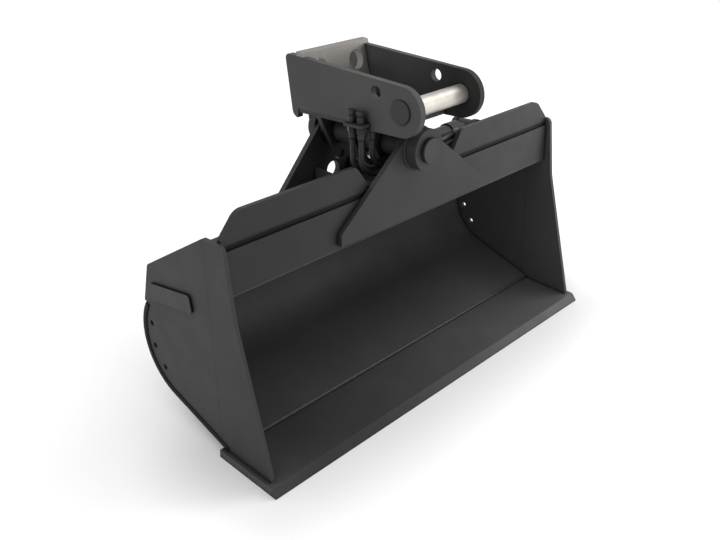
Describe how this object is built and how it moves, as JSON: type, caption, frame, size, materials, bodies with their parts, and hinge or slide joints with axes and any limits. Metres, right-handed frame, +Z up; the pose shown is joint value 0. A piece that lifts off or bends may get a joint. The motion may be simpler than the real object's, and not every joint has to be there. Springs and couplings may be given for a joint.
{
  "type": "tilt ditching bucket",
  "caption": "Wide ditching bucket with a coupler head that tilts sideways on a pin, moved by a hydraulic cylinder.",
  "frame": {"origin": "middle of the cutting edge, on its front lower edge", "axes": "+X to the right seen from the open front, -Y out of the open front, +Z up; the tilt axis lies in the X = 0 plane and drops 5.5 degrees towards +Y"},
  "size_m": [1.2, 0.5122, 0.767],
  "materials": {
    "anthracite_paint": "satin powder coat",
    "bare_shaft": "turned, lightly zinc coated",
    "bare_plate": "machined plate",
    "chrome_rod": "polished",
    "dark_steel": "black coated steel",
    "bronze": "plain bearing bronze",
    "plated_fittings": "black plated",
    "hose_rubber": "matt outer cover",
    "badge_plastic": "smooth, bare"
  },
  "bodies": {
    "bucket": {"box_front_plate": "anthracite_paint", "box_rear_plate": "anthracite_paint", "box_ribs": "anthracite_paint", "box_top_plate": "anthracite_paint", "bucket_skin": "anthracite_paint", "cutting_edge": "anthracite_paint", "cylinder_barrel": "anthracite_paint", "cylinder_ears": "anthracite_paint", "cylinder_gland": "anthracite_paint", "cylinder_outer_pin": "dark_steel", "flange_left": "anthracite_paint", "flange_right": "anthracite_paint", "front_hanger_boss": "anthracite_paint", "front_hanger_plate": "anthracite_paint", "hanger_gussets": "anthracite_paint", "keeper_bolts": "dark_steel", "name_plate": "badge_plastic", "pin_keeper": "dark_steel", "port_tees": "plated_fittings", "rear_hanger_boss": "anthracite_paint", "rear_hanger_plate": "anthracite_paint", "side_plate_left": "anthracite_paint", "side_plate_right": "anthracite_paint", "thrust_washers": "bronze", "tilt_pin": "dark_steel"},
    "head": {"hub_tube": "anthracite_paint", "hub_bushes": "bronze", "hub_lug_front": "anthracite_paint", "hub_lug_middle": "anthracite_paint", "hub_lug_rear": "anthracite_paint", "lug_pin": "dark_steel", "pin_spacers": "dark_steel", "head_floor": "anthracite_paint", "head_side_left": "anthracite_paint", "head_side_right": "anthracite_paint", "head_cross_plate": "bare_plate", "coupler_shaft": "bare_shaft", "shaft_cap_left": "anthracite_paint", "shaft_cap_right": "anthracite_paint", "coupling_shelf": "anthracite_paint", "hose_couplings": "plated_fittings", "floor_fittings": "plated_fittings", "hose_outer_front": "hose_rubber", "hose_outer_rear": "hose_rubber", "hose_inner_front": "hose_rubber", "hose_inner_rear": "hose_rubber"},
    "rod": {"cylinder_rod": "chrome_rod", "cylinder_piston": "dark_steel"}
  },
  "joints": [
    {"name": "tilt", "type": "hinge", "parent": "bucket", "child": "head", "pos_m": [0, 0.32, 0.573], "axis": [0, 0.9954, -0.0958], "range_deg": [-40, 40], "deforming": ["hose_inner_front", "hose_inner_rear", "hose_outer_front", "hose_outer_rear"]},
    {"name": "rod_slide", "type": "slide", "parent": "bucket", "child": "rod", "axis": [1, 0, 0], "range_m": [-0.0415, 0.0415]}
  ],
  "couplings": [
    {"joint": "rod_slide", "follows": "tilt", "m_per_rad": -0.0593}
  ]
}
